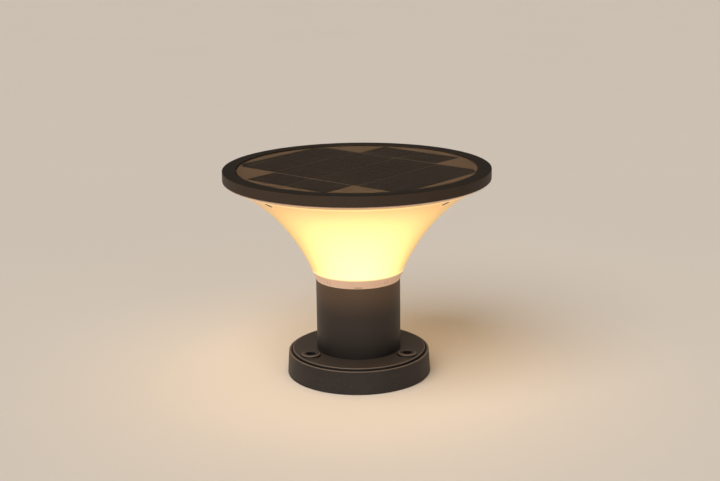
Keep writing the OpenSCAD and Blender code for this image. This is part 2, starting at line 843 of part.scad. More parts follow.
// Cast ring: flat face, panel recess and shelf, pressing rib and screw bosses
module bezel_ring() {
    press_in = rib_press_r - rib_press_w / 2;
    press_out = rib_press_r + rib_press_w / 2;
    wall_in = ring_r - ring_wall;
    roof_z = ring_top_z - ring_roof_t;
    outline = [
        [recess_r, ring_top_z],
        [ring_r - ring_round, ring_top_z],
        [ring_r, ring_top_z - ring_round],
        [ring_r, flange_z + ring_round],
        [ring_r - ring_round, flange_z],
        [wall_in, flange_z],
        [wall_in, roof_z],
        [press_out, roof_z],
        [press_out, flange_z + seal_t],
        [press_in, flange_z + seal_t],
        [press_in, shelf_z],
        [shelf_r, shelf_z],
        [shelf_r, shelf_top_z],
        [recess_r, shelf_top_z]
    ];
    color(charcoal) difference() {
        union() {
            rotate_extrude($fn = smooth) polygon(outline);
            around(flange_screw_angles, flange_screw_r)
                translate([0, 0, flange_z]) cylinder(r = flange_boss_r, h = shelf_z - flange_z + over);
        }
        around(flange_screw_angles, flange_screw_r)
            drill_from_below(ring_screw_d, flange_z, flange_z + flange_thread);
        around(reflector_screw_angles, reflector_screw_r)
            drill_from_below(ring_screw_d, shelf_z, shelf_z + reflector_bite);
    }
}

// White plate that closes the ring from below and reflects the light
module reflector_plate() {
    color(white_part) difference() {
        translate([0, 0, reflector_z]) cylinder(r = reflector_r, h = reflector_t, $fn = smooth);
        drill(2 * grommet_r, reflector_z, shelf_z);
        around(reflector_screw_angles, reflector_screw_r)
            drill(ring_screw_d + 2 * screw_gap, reflector_z, shelf_z);
    }
}

// Screws that hold the reflector plate under the shelf
module reflector_screws() {
    color(steel) around(reflector_screw_angles, reflector_screw_r) translate([0, 0, reflector_z])
        screw_up(ring_screw_d, ring_head_d - reflector_head_trim, ring_head_h, reflector_t + reflector_bite);
}

// Sleeve of the panel's lead in the reflector plate
module plate_grommet() {
    color(black_rubber) translate([0, 0, reflector_z]) grommet(reflector_t);
}

// Lead on the lamp's axis, from the panel down to the control board
module panel_lead() {
    color(black_rubber) translate([0, 0, lead_foot_z])
        cylinder(d = lead_d, h = shelf_z + terminal_gap - lead_foot_z);
}

// Terminal block under the panel
module panel_terminal() {
    color(black_rubber) translate([0, 0, shelf_z + terminal_gap])
        block([terminal_w, terminal_d, backsheet_z - shelf_z - terminal_gap]);
}

// Bead that beds the panel on the shelf
module panel_adhesive() {
    color([0.3, 0.3, 0.3]) translate([0, 0, shelf_top_z])
        flat_ring(panel_r - bead_edge, shelf_r + bead_edge, bead_t);
}

// Pale sheet behind the cells
module panel_backsheet() {
    color(white_part) translate([0, 0, backsheet_z]) cylinder(r = panel_r, h = backsheet_t, $fn = smooth);
}

// Rectangle in the panel pattern, from one corner to the other
module wafer(u0, u1, v0, v1) {
    translate([u0, v0, 0]) cube([u1 - u0, v1 - v0, wafer_t]);
}

// Sixteen dark cells: four strips of three, and two at each end
module solar_cells() {
    cut_side = corner_cut * sqrt(2);
    color(dark_cell) rotate([0, 0, panel_turn]) translate([0, 0, wafer_z]) {
        difference() {
            for (column = [0:3], row = [0:2]) {
                u = -reach_u + column * strip_pitch;
                v = -reach_v + row * (wafer_v + cell_split);
                wafer(u, u + strip_w, v, v + wafer_v);
            }
            for (su = [-1, 1], sv = [-1, 1])
                translate([su * reach_u, sv * reach_v, 0]) rotate([0, 0, 45])
                    cube([cut_side, cut_side, 2 * (wafer_t + over)], center = true);
        }
        for (su = [-1, 1], sv = [-1, 1])
            scale([su, sv, 1]) wafer(strip_gap / 2, end_cell_w, reach_v + end_gap, end_v);
    }
}

// Thin collecting ribbons along the strips
module cell_ribbons() {
    color(steel) rotate([0, 0, panel_turn]) translate([0, 0, ribbon_z])
        for (column = [0:3], side = [-1, 1]) {
            u = -reach_u + column * strip_pitch + (2 + side) * strip_w / 4;
            v = (column == 1 || column == 2) ? end_v - ribbon_w : reach_v - ribbon_w;
            translate([u - ribbon_w / 2, -v, 0]) cube([ribbon_w, 2 * v, ribbon_t]);
        }
}

// Round cover glass, just below the ring's face
module panel_glass() {
    color(clear_glass) translate([0, 0, glass_z]) cylinder(r = panel_r, h = glass_t, $fn = smooth);
}

base_flange();
bottom_cover();
cover_gasket();
cover_screws();
switch_body();
switch_nut();
button_cap();
column_tube();
base_screws();
battery_holder_lower();
battery_holder_upper();
battery_cells();
battery_tabs();
battery_lead();
switch_lead();
control_board();
control_components();
column_cap();
cap_screws();
neck_oring();
cap_grommet();
led_board();
led_chips();
led_screws();
led_lead();
diffuser();
flange_screws();
flange_seal();
bezel_ring();
reflector_plate();
reflector_screws();
plate_grommet();
panel_lead();
panel_terminal();
panel_adhesive();
panel_backsheet();
solar_cells();
cell_ribbons();
panel_glass();
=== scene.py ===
"""Looks of the solar pillar light: finer shapes, finishes, studio and camera."""

import math

import bmesh
import bpy
from mathutils import Matrix, Vector
from mathutils.geometry import interpolate_bezier


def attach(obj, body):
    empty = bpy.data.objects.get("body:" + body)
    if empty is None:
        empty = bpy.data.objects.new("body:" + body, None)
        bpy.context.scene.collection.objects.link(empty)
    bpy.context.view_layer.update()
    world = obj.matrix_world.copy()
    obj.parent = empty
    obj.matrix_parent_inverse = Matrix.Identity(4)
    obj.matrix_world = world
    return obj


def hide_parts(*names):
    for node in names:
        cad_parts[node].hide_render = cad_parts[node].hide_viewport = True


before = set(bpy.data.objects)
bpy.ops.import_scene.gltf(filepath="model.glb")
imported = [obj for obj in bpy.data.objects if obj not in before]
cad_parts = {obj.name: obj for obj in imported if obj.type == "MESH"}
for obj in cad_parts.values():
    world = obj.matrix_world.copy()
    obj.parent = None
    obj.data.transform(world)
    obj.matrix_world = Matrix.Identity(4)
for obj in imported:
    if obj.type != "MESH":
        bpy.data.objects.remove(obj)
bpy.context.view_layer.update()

# Lengths are in millimetres until a piece is finished
MM = 0.001
# Corners nearer to each other than this are one
MERGE = 1e-4

# Base: wall, rim, groove, raised disc and bolt bosses
WALL_FOOT_R, RIM_R, RIM_Z = 68.7, 67.3, 22.0
GROOVE_IN_R, GROOVE_OUT_R, GROOVE_Z = 63.6, 64.9, 21.1
DISC_Z, PLATE_Z = 24.1, 20.3
BOLT_R, BOLT_ANGLES = 52.5, (-150, -30, 90)
BOSS_R, BOSS_Z, BOLT_HOLE_R = 8.8, 26.3, 4.5

# Column and the screw ports in it
COLUMN_R, COLUMN_IN_R = 40, 37.5
COLUMN_Z, NECK_Z = 23.8, 93.0
PORT_R, PORT_ANGLES = 32.5, (-90, 30, 150)

# Diffuser: its outline's four curve points, and the top of its neck band
FLARE = ((40, 93), (65.947, 163.896), (121.3, 189), (123.7, 189))
BAND_Z, FLANGE_Z = 98.6, 190.0
FLANGE_SCREW_R, FLANGE_SCREW_ANGLES = 109.5, (-135, -45, 45, 135)
POCKET_R = 3.2

# Top ring and panel
RING_R, RING_TOP_Z = 125, 200
PANEL_TURN = math.radians(-40.2)


# ---------------------------------------------------------------- shaping

def lathe(outline, steps=240, at=(0, 0)):
    """Spins corners of (radius, height, rounding) about an upright axis."""
    bm = bmesh.new()
    corners = [bm.verts.new((r, 0, z)) for r, z, _ in outline]
    for a, b in zip(corners, corners[1:]):
        bm.edges.new((a, b))
    if outline[0][0] > 0:
        bm.edges.new((corners[-1], corners[0]))
    for corner, (_, _, rounding) in zip(corners, outline):
        if rounding:
            bmesh.ops.bevel(bm, geom=[corner], offset=rounding, segments=4,
                            affect="VERTICES", profile=0.5, material=-1)
    bmesh.ops.spin(bm, geom=bm.verts[:] + bm.edges[:], cent=(0, 0, 0), axis=(0, 0, 1),
                   angle=2 * math.pi, steps=steps, use_merge=True)
    bmesh.ops.remove_doubles(bm, verts=bm.verts, dist=MERGE)
    bmesh.ops.recalc_face_normals(bm, faces=bm.faces)
    bmesh.ops.translate(bm, vec=(*at, 0), verts=bm.verts)
    return bm


def rod(radius, low, high, at):
    """Plain round bar, for cutting and joining."""
    bm = bmesh.new()
    bmesh.ops.create_cone(bm, cap_ends=True, segments=48, radius1=radius, radius2=radius,
                          depth=high - low)
    bmesh.ops.translate(bm, vec=(*at, (low + high) / 2), verts=bm.verts)
    return bm


def block(size, centre, turn, edge=0.4):
    """Rib with its edges taken off, turned about the lamp's axis by degrees."""
    bm = bmesh.new()
    bmesh.ops.create_cube(bm, size=1,
                          matrix=Matrix.LocRotScale(Vector(centre), None, Vector(size)))
    bmesh.ops.bevel(bm, geom=bm.edges[:], offset=edge, segments=2, affect="EDGES",
                    profile=0.5, material=-1)
    bmesh.ops.rotate(bm, cent=(0, 0, 0), matrix=Matrix.Rotation(math.radians(turn), 3, "Z"),
                     verts=bm.verts)
    return bm


def around(angles, radius):
    """Points on a circle about the lamp's axis."""
    return [(radius * math.cos(math.radians(a)), radius * math.sin(math.radians(a)))
            for a in angles]


def meshed(name, bm):
    """Mesh made from a bmesh, which it uses up."""
    mesh = bpy.data.meshes.new(name)
    bm.to_mesh(mesh)
    bm.free()
    return mesh


def placed(name, data):
    """Object in the scene that holds a mesh, a light or a camera."""
    made = bpy.data.objects.new(name, data)
    bpy.context.scene.collection.objects.link(made)
    return made


def joined(*parts):
    """One bmesh from several, which it uses up."""
    whole = bmesh.new()
    for part in parts:
        mesh = meshed("part", part)
        whole.from_mesh(mesh)
        bpy.data.meshes.remove(mesh)
    return whole


def carved(bm, tool, operation="DIFFERENCE"):
    """Cuts a bmesh with another, or unites or intersects the two. It uses both up."""
    holders = [placed("carving", meshed("carving", part)) for part in (bm, tool)]
    cut = holders[0].modifiers.new("cut", "BOOLEAN")
    cut.object = holders[1]
    cut.operation = operation
    cut.solver = "EXACT"
    seen = holders[0].evaluated_get(bpy.context.evaluated_depsgraph_get())
    result = bmesh.new()
    result.from_mesh(seen.to_mesh())
    for holder in holders:
        mesh = holder.data
        bpy.data.objects.remove(holder)
        bpy.data.meshes.remove(mesh)
    return result


def piece(name, bm, finish, node, body="lamp", crease=32):
    """Makes a piece of the lamp from a bmesh in millimetres, in place of a CAD node."""
    bmesh.ops.scale(bm, vec=(MM, MM, MM), verts=bm.verts)
    mesh = meshed(name, bm)
    mesh.shade_smooth()
    mesh.set_sharp_from_angle(angle=math.radians(crease))
    mesh.materials.append(finish)
    made = placed(name, mesh)
    # Wide flat faces beside rounded edges would look bent without this
    made.modifiers.new("flat_faces", "WEIGHTED_NORMAL").keep_sharp = True
    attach(made, body)
    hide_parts(node)


def softened(name, node, edge, finish, body="lamp"):
    """Copy of a CAD node with its sharp edges taken off."""
    same_plane, sharp_turn = math.radians(0.5), math.radians(40)
    bm = bmesh.new()
    bm.from_mesh(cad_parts[node].data)
    bmesh.ops.scale(bm, vec=(1 / MM, 1 / MM, 1 / MM), verts=bm.verts)
    bmesh.ops.remove_doubles(bm, verts=bm.verts, dist=10 * MERGE)
    bmesh.ops.dissolve_limit(bm, angle_limit=same_plane, verts=bm.verts, edges=bm.edges)
    sharp = [e for e in bm.edges
             if len(e.link_faces) == 2 and e.calc_face_angle() > sharp_turn]
    bmesh.ops.bevel(bm, geom=sharp, offset=edge, segments=2, affect="EDGES", profile=0.5,
                    material=-1, clamp_overlap=True)
    piece(name, bm, finish, node, body)


# ---------------------------------------------------------------- finishes

def shade(red, green, blue):
    """A colour written as in a paint chart, 0 to 255, for a node's socket."""
    def linear(c):
        c = c / 255
        return c / 12.92 if c <= 0.04045 else ((c + 0.055) / 1.055) ** 2.4
    return (linear(red), linear(green), linear(blue), 1)


class Value:
    """A socket in a finish, so that sums on it are written plainly."""

    def __init__(self, finish, socket):
        self.finish = finish
        self.socket = socket

    def __add__(self, other):
        return self.finish.reckon("ADD", self, other)

    __radd__ = __add__

    def __sub__(self, other):
        return self.finish.reckon("SUBTRACT", self, other)

    def __rsub__(self, other):
        return self.finish.reckon("SUBTRACT", other, self)

    def __mul__(self, other):
        if isinstance(other, tuple):
            return self.finish.add("VectorMath", {"operation": "MULTIPLY"}, {0: self, 1: other})
        return self.finish.reckon("MULTIPLY", self, other)

    __rmul__ = __mul__

    def __truediv__(self, other):
        return self.finish.reckon("DIVIDE", self, other)

    def __rtruediv__(self, other):
        return self.finish.reckon("DIVIDE", other, self)


class Finish:
    """A material in the making."""

    def __init__(self, name):
        self.material = bpy.data.materials.new(name + "_finish")
        self.material.use_nodes = True
        self.tree = self.material.node_tree
        self.tree.nodes.clear()
        self.place = self.add("TexCoord", out="Object")

    def add(self, kind, settings=None, sockets=None, out=0):
        """Adds a node: its settings first, then the values or links of its sockets."""
        node = self.tree.nodes.new("ShaderNode" + kind)
        for key, value in (settings or {}).items():
            if key == "stops":
                marks = node.color_ramp.elements
                while len(marks) > 1:
                    marks.remove(marks[-1])
                for i, (position, colour) in enumerate(value):
                    mark = marks[0] if i == 0 else marks.new(position)
                    mark.position = position
                    mark.color = colour
            else:
                setattr(node, key, value)
        for key, value in (sockets or {}).items():
            if isinstance(value, Value):
                self.tree.links.new(value.socket, node.inputs[key])
            else:
                node.inputs[key].default_value = value
        if node.outputs:
            return Value(self, node.outputs[out])

    def reckon(self, operation, *values):
        """Adds a Math node on one or more values."""
        return self.add("Math", {"operation": operation}, dict(enumerate(values)))

    def most(self, first, *others):
        """The largest of several values."""
        for other in others:
            first = self.reckon("MAXIMUM", first, other)
        return first

    def parts(self, vector):
        """The three parts of a vector."""
        split = self.add("SeparateXYZ", None, {0: vector})
        return [Value(self, split.socket.node.outputs[i]) for i in range(3)]

    def grain(self, size, detail, where=None):
        """Soft random pattern with spots about as big as size, in millimetres."""
        return self.add("TexNoise", None, {"Vector": where or self.place,
                                           "Scale": 1 / (size * MM), "Detail": detail})

    def blend(self, share, first, second):
        """Goes from the first colour to the second."""
        return self.add("Mix", {"data_type": "RGBA"}, {0: share, 6: first, 7: second}, out=2)

    def rise(self, value, low, high, start=0.0, end=1.0):
        """Eases from start to end as a value goes from low to high."""
        return self.add("MapRange", {"interpolation_type": "SMOOTHSTEP"},
                        {"Value": value, "From Min": low, "From Max": high,
                         "To Min": start, "To Max": end})

    def fall(self, value, low, high, start=1.0):
        """Eases from start to 0 as a value goes from low to high."""
        return self.rise(value, low, high, start, 0.0)

    def peak(self, value, middle, half):
        """1 where a value is at its middle, easing to 0 at half on either side."""
        return (self.rise(value, middle - half, middle)
                * self.fall(value, middle, middle + half))

    def polar(self):
        """Distance from the lamp's axis and height in millimetres, and angle in degrees."""
        x, y, z = self.parts(self.place)
        radius = self.add("VectorMath", {"operation": "LENGTH"},
                          {0: self.place * (1.0, 1.0, 0.0)}, out="Value")
        turn = self.reckon("ARCTAN2", y, x) * (180 / math.pi)
        return radius / MM, z / MM, turn

    def nearest(self, turn, first, count):
        """Angle from the nearest of count even places round the lamp, one of them at first."""
        return self.reckon("WRAP", turn - first, -180 / count, 180 / count)

    def upward(self):
        """How much a surface looks up, from 0 on a wall to 1 on a level top."""
        normal = self.add("NewGeometry", out="Normal")
        return self.rise(self.parts(normal)[2], 0.25, 0.95)

    def relief(self, value, depth):
        """Dents and grain of a given depth, in millimetres."""
        return self.add("Bump", None, {"Height": value, "Distance": depth * MM}, out="Normal")

    def done(self, shader):
        """Ends the material with its shader."""
        self.add("OutputMaterial", None, {"Surface": shader})
        return self.material

    def skin(self, sockets):
        """Ends the material with one general surface."""
        return self.done(self.add("BsdfPrincipled", None, sockets))


def ring_paint():
    """Smooth charcoal powder coat of the top ring, with painted shade darkening its upper face
    and painted light brightening its wall.
    """
    f = Finish("ring_paint")
    cloud = f.grain(35, 3)
    peel = f.grain(1.1, 3)
    # The wall is painted lighter and the upper face darker: painted light and painted shade
    wall = f.blend(cloud, shade(62, 51, 42), shade(69, 57, 47))
    top = f.blend(cloud, shade(29, 21, 14), shade(35, 26, 18))
    return f.skin({
        "Base Color": f.blend(f.upward(), wall, top),
        "Roughness": 0.42 + 0.14 * peel,
        "Specular IOR Level": 0.06,
        "Normal": f.relief(peel, 0.03),
    })


def column_paint():
    """The same coat on the extruded column, with painted light from the glowing neck: warmer and
    lighter towards the neck, darker towards the foot.
    """
    f = Finish("column_paint")
    high = f.parts(f.place)[2] / MM
    cloud = f.grain(30, 3)
    peel = f.grain(0.9, 3)
    low = f.blend(cloud, shade(28, 23, 20), shade(34, 28, 24))
    middle = f.blend(cloud, shade(43, 36, 32), shade(49, 42, 36))
    top = f.blend(cloud, shade(93, 73, 56), shade(99, 78, 60))
    # Painted light: darker low down, lighter and warmer near the glowing neck
    body = f.blend(f.rise(high, 24.0, 62.0), low, middle)
    return f.skin({
        "Base Color": f.blend(f.rise(high, 58.0, 97.0), body, top),
        "Roughness": 0.42 + 0.14 * peel,
        "Specular IOR Level": 0.35,
        "Normal": f.relief(peel, 0.03),
    })


def cast_paint():
    """Sandy charcoal coat of the cast base, with painted highlights along its edges and painted
    shade on its walls and in its hollows.
    """
    f = Finish("cast_paint")
    radius, high, turn = f.polar()
    sand = f.grain(0.8, 4)
    cloud = f.grain(22, 3)
    # Walls painted darker and upward faces lighter: painted shade and painted light
    wall = f.blend(cloud, shade(33, 29, 27), shade(40, 35, 32))
    top = f.blend(cloud, shade(50, 43, 39), shade(58, 50, 45))
    coat = f.blend(f.upward(), wall, top)
    coat = f.blend(f.rise(sand, 0.54, 0.7), coat, shade(64, 56, 50))
    # Distance from the nearest bolt hole's axis, by the law of cosines
    off = f.nearest(turn, BOLT_ANGLES[-1], len(BOLT_ANGLES)) * (math.pi / 180)
    bolt = f.reckon("COSINE", off) * radius * (2 * BOLT_R)
    bolt = f.reckon("SQRT", radius * radius + BOLT_R * BOLT_R - bolt)
    # Painted highlights on the rim and along the edges of the disc and the bosses
    rim = (f.rise(radius, GROOVE_OUT_R + 0.4, GROOVE_OUT_R + 1.4)
           * f.fall(radius, RIM_R - 0.4, RIM_R + 0.1)
           * f.rise(high, RIM_Z - 0.8, RIM_Z - 0.2))
    disc_edge = f.peak(radius, GROOVE_IN_R - 0.4, 0.7) * f.rise(high, DISC_Z - 0.8, DISC_Z - 0.2)
    boss_edge = f.peak(bolt, BOSS_R - 0.5, 1.0) * f.rise(high, BOSS_Z - 0.9, BOSS_Z - 0.3)
    edge_highlight = f.most(rim, disc_edge, boss_edge)
    coat = f.blend(edge_highlight * 0.85, coat, shade(118, 102, 90))
    # Painted shade in the groove, at the foot of each boss and in the holes
    groove = (f.peak(radius, GROOVE_IN_R + 0.5, 1.0)
              * f.fall(high, DISC_Z - 0.9, DISC_Z - 0.4)
              * f.rise(high, GROOVE_Z - 2.1, GROOVE_Z - 1.1))
    foot = f.peak(bolt, BOSS_R + 0.2, 0.9) * f.fall(high, BOSS_Z - 1.1, BOSS_Z - 0.5)
    hole = f.fall(bolt, BOLT_HOLE_R - 0.1, BOLT_HOLE_R + 0.4)
    painted_shade = f.most(groove, foot, hole)
    return f.skin({
        "Base Color": f.blend(painted_shade * 0.9, coat, shade(12, 9, 7)),
        "Roughness": 0.42 + 0.2 * sand,
        "Specular IOR Level": 0.35,
        "Normal": f.relief(sand, 0.09),
    })


def opal_glow(f, radius, high):
    """How much of the opal is lit, and the colour of its light."""
    # How far up the flare a point is, from the neck's foot to the rim
    flare_length = 180.0
    along = (high + radius - sum(FLARE[0])) / flare_length
    # The neck band and the clamped lip stay unlit
    lit = f.rise(high, BAND_Z + 0.8, BAND_Z + 6.2) * f.fall(along, 0.968, 0.984)
    # Just below the lip the ramp paints a brighter line and then a dimmer one: painted highlight
    # and painted shade
    glow = f.add("ValToRGB", {"stops": [
        (0.45, (1.0, 0.70, 0.28, 1)),
        (0.62, (1.0, 0.67, 0.275, 1)),
        (0.80, (1.0, 0.61, 0.265, 1)),
        (0.905, (1.0, 0.61, 0.27, 1)),
        (0.922, (1.25, 0.82, 0.39, 1)),
        (0.940, (1.25, 0.82, 0.39, 1)),
        (0.951, (0.62, 0.38, 0.17, 1)),
    ]}, {0: along})
    # Painted shade in the screw pockets and a painted glint round each, under the ring, the same
    # in each quarter
    corner = FLANGE_SCREW_R * MM * math.sqrt(0.5)
    pocket = f.add("VectorMath", {"operation": "ABSOLUTE"}, {0: f.place * (1.0, 1.0, 0.0)})
    pocket = f.add("VectorMath", {"operation": "DISTANCE"}, {0: pocket, 1: (corner, corner, 0)},
                   out="Value") / MM
    glow = f.blend(f.peak(pocket, POCKET_R + 1.0, 1.0), glow, (1.2, 0.84, 0.42, 1))
    glow = f.blend(f.rise(pocket, POCKET_R, POCKET_R + 0.4), (0.01, 0.006, 0.003, 1), glow)
    return lit, f.blend(lit * lit, (0.02, 0.012, 0.008, 1), glow)


def neck_frost(f, high, turn):
    """Colour of the unlit neck band, with the ribs and screw ports of the column's cap behind it
    painted on as highlights and shade, and a painted highlight along its foot.
    """
    rib = f.nearest(turn, PORT_ANGLES[0], 9)
    port = f.nearest(turn, PORT_ANGLES[0], len(PORT_ANGLES))
    # Squared, so that both sides of a screw port count alike
    port = port * port
    # No rib stands behind a port, where a dark dash of painted shade shows at the neck's foot
    clear = (f.rise(port, 300.0, 420.0)
             * f.rise(high, NECK_Z + 1.2, NECK_Z + 1.8)
             * f.fall(high, BAND_Z, BAND_Z + 0.8))
    # Each rib shows as a painted highlight in the middle between two lines of painted shade, in
    # degrees
    bright = f.peak(rib, -1.4, 1.2) * clear
    dull = (f.peak(rib, 0.4, 1.0) + f.peak(rib, -3.2, 0.9)) * clear
    dash = f.fall(port, 18.0, 40.0) * f.peak(high, NECK_Z + 1.2, 0.8)
    frost = f.blend(f.grain(9, 2), shade(224, 192, 168), shade(231, 199, 174))
    frost = f.blend(bright * 0.7, frost, shade(244, 214, 180))
    frost = f.blend(dull * 0.6, frost, shade(150, 112, 84))
    frost = f.blend(dash * 0.8, frost, shade(90, 66, 52))
    # A painted highlight along the neck's foot
    foot = f.fall(high, NECK_Z + 0.3, NECK_Z + 0.9, 0.5)
    return f.blend(foot, frost, shade(244, 220, 186))


def opal():
    """Opal plastic, lit from inside by the lights on the column."""
    f = Finish("opal")
    radius, high, turn = f.polar()
    lit, glow = opal_glow(f, radius, high)
    milk = f.blend(f.grain(14, 2), shade(226, 212, 188), shade(232, 218, 196))
    # The tinted coat dims and reddens the light towards the outline
    return f.skin({
        "Base Color": f.blend(lit, neck_frost(f, high, turn), milk),
        "Roughness": 0.3 + 0.08 * f.grain(2, 2),
        "Specular IOR Level": 0.3,
        "Emission Color": glow,
        "Emission Strength": 5.3,
        "Coat Weight": lit * 0.93,
        "Coat IOR": 1.05,
        "Coat Roughness": 0.15,
        "Coat Tint": (0.46, 0.44, 0.40, 1),
        "Normal": f.relief(f.grain(6, 2), 0.02),
    })


def panel_pane():
    """Clear low-iron cover glass, which lets the light through to the cells."""
    f = Finish("panel_pane")
    clear = (0.97, 0.98, 0.97, 1)
    sight = f.add("BsdfRefraction", None, {"Color": clear, "Roughness": 0.0, "IOR": 1.5})
    gloss = f.add("BsdfGlossy", None, {"Color": (1, 1, 1, 1),
                                       "Roughness": 0.1 + 0.03 * f.grain(60, 1)})
    edge_on = f.add("LayerWeight", None, {"Blend": 0.5}, out="Facing")
    share = 0.01 + 0.09 * edge_on * edge_on * edge_on * edge_on * edge_on
    glass = f.add("MixShader", None, {0: share, 1: sight, 2: gloss})
    through = f.add("BsdfTransparent", None, {"Color": clear})
    shadow = f.add("LightPath", out="Is Shadow Ray")
    return f.done(f.add("MixShader", None, {0: shadow, 1: glass, 2: through}))


def cell_face():
    """Dark silicon cell with fine grid fingers."""
    f = Finish("cell_face")
    finger_step = 2.0
    turned = f.add("Mapping", {"vector_type": "TEXTURE"},
                   {"Vector": f.place, "Rotation": (0, 0, PANEL_TURN)})
    across = f.reckon("PINGPONG", f.parts(turned)[1] / (finger_step * MM), 0.5)
    cloud = f.grain(30, 2, turned)
    dark = f.blend(cloud, shade(37, 28, 21), shade(47, 37, 29))
    return f.skin({
        "Base Color": f.blend(f.fall(across, 0.0, 0.12) * 0.14, dark, shade(104, 90, 76)),
        "Roughness": 0.4 + 0.15 * cloud,
        "Specular IOR Level": 0.0,
    })


def light_dot():
    """Phosphor face of a small light."""
    f = Finish("light_dot")
    cloud = f.grain(1.2, 2)
    return f.skin({
        "Base Color": f.blend(cloud, shade(236, 196, 84), shade(244, 210, 110)),
        "Roughness": 0.3 + 0.1 * cloud,
        "Emission Color": f.blend(cloud, (1, 0.7, 0.36, 1), (1, 0.74, 0.4, 1)),
        "Emission Strength": 6.0,
    })


def floor_skin():
    """Plain pale studio floor."""
    f = Finish("floor_skin")
    return f.skin({
        "Base Color": f.blend(f.grain(400, 2), shade(218, 208, 196), shade(221, 211, 199)),
        "Roughness": 0.8,
        "Specular IOR Level": 0.1,
    })


def plain_skin(name, first, second, rough, size, depth, metal=0.0, gloss=0.5):
    """Shared form of the small parts' finishes: clouded colour, uneven gloss, fine relief."""
    f = Finish(name)
    tooth = f.grain(0.6, 3)
    return f.skin({
        "Base Color": f.blend(f.grain(size, 3), first, second),
        "Roughness": rough + 0.16 * (tooth - 0.5),
        "Metallic": metal,
        "Specular IOR Level": gloss,
        "Normal": f.relief(tooth, depth),
    })


def backing():
    """Warm dull sheet behind the cells."""
    return plain_skin("backing", shade(90, 66, 44), shade(98, 72, 49),
                      rough=0.6, size=20, depth=0.01, gloss=0.1)


def ribbon_tin():
    """Tinned copper ribbon."""
    return plain_skin("ribbon_tin", shade(46, 36, 28), shade(56, 44, 35),
                      rough=0.5, size=6, depth=0.005, gloss=0.1)


def screw_steel():
    """Stainless steel of the screws."""
    return plain_skin("screw_steel", shade(150, 148, 145), shade(176, 174, 170),
                      rough=0.34, size=4, depth=0.01, metal=1.0)


def cap_metal():
    """Machined aluminium of the column's cap."""
    return plain_skin("cap_metal", shade(176, 176, 174), shade(196, 196, 194),
                      rough=0.38, size=10, depth=0.01, metal=1.0)


def switch_metal():
    """Nickelled brass of the power switch."""
    return plain_skin("switch_metal", shade(168, 164, 156), shade(190, 186, 178),
                      rough=0.28, size=5, depth=0.005, metal=1.0)


def seal_rubber():
    """Black rubber of the seals and sleeves."""
    return plain_skin("seal_rubber", shade(24, 24, 24), shade(34, 33, 33),
                      rough=0.7, size=5, depth=0.03)


def bead_paste():
    """Grey bead under the panel."""
    return plain_skin("bead_paste", shade(70, 68, 66), shade(86, 84, 80),
                      rough=0.6, size=4, depth=0.05)


def black_plastic():
    """Moulded black plastic."""
    return plain_skin("black_plastic", shade(30, 29, 29), shade(40, 39, 38),
                      rough=0.5, size=7, depth=0.03)


def white_plastic():
    """White plastic of the reflector plate."""
    return plain_skin("white_plastic", shade(226, 222, 214), shade(236, 232, 226),
                      rough=0.42, size=18, depth=0.01)


def board_green():
    """Solder mask of the control board."""
    return plain_skin("board_green", shade(16, 70, 38), shade(24, 88, 50),
                      rough=0.35, size=5, depth=0.01)


def board_white():
    """White solder mask of the light board."""
    return plain_skin("board_white", shade(224, 222, 216), shade(236, 234, 230),
                      rough=0.35, size=8, depth=0.01)


def cell_sleeve():
    """Shrink sleeve of the battery cells."""
    return plain_skin("cell_sleeve", shade(40, 84, 150), shade(50, 98, 168),
                      rough=0.3, size=12, depth=0.01)


def wire_skin():
    """Insulation of the inner wires."""
    return plain_skin("wire_skin", shade(150, 30, 26), shade(170, 40, 34),
                      rough=0.4, size=6, depth=0.01)


# ---------------------------------------------------------------- pieces

def base_casting(paint):
    """Base with its drafted wall, groove, raised disc, bolt bosses and ribs."""
    hatch_r, wall_in_r, corner_r = 25.44, 65.5, 59.3
    shell = lathe([
        (wall_in_r, 0, 0.4), (WALL_FOOT_R, 0, 0.8), (RIM_R, RIM_Z, 0.6),
        (GROOVE_OUT_R, RIM_Z, 0.3), (GROOVE_OUT_R, GROOVE_Z, 0.25),
        (GROOVE_IN_R, GROOVE_Z, 0.25), (GROOVE_IN_R, DISC_Z, 0.8),
        (hatch_r, DISC_Z, 0.3), (hatch_r, PLATE_Z, 0.3), (corner_r, PLATE_Z, 1.5),
    ])
    # The plate is open where the bosses pass through it
    open_r, below, above = 6.2, 15, 30
    spots = around(BOLT_ANGLES, BOLT_R)
    for spot in spots:
        shell = carved(shell, rod(open_r, below, above, spot))
    # The fillet at a boss's foot lies on the disc, a hair above it
    leg_r, leg_z, fillet_r, fillet_z = 8.0, 22.8, 9.8, DISC_Z + 0.01
    boss = [
        (BOLT_HOLE_R, 0, 0.4), (leg_r, 0, 0.5), (leg_r, leg_z, 0), (fillet_r, fillet_z, 0),
        (BOSS_R, fillet_z, 0.7), (BOSS_R, BOSS_Z, 1.0), (BOLT_HOLE_R, BOSS_Z, 0.7),
    ]
    bosses = [lathe(boss, 72, spot) for spot in spots]
    rib_size, rib_centre = (25.8, 2.4, 12.1), (51.6, 0, 14.35)
    ribs = [block(rib_size, rib_centre, turn) for turn in range(30, 390, 60)]
    piece("base_casting", joined(shell, *bosses, *ribs), paint, "base_flange")


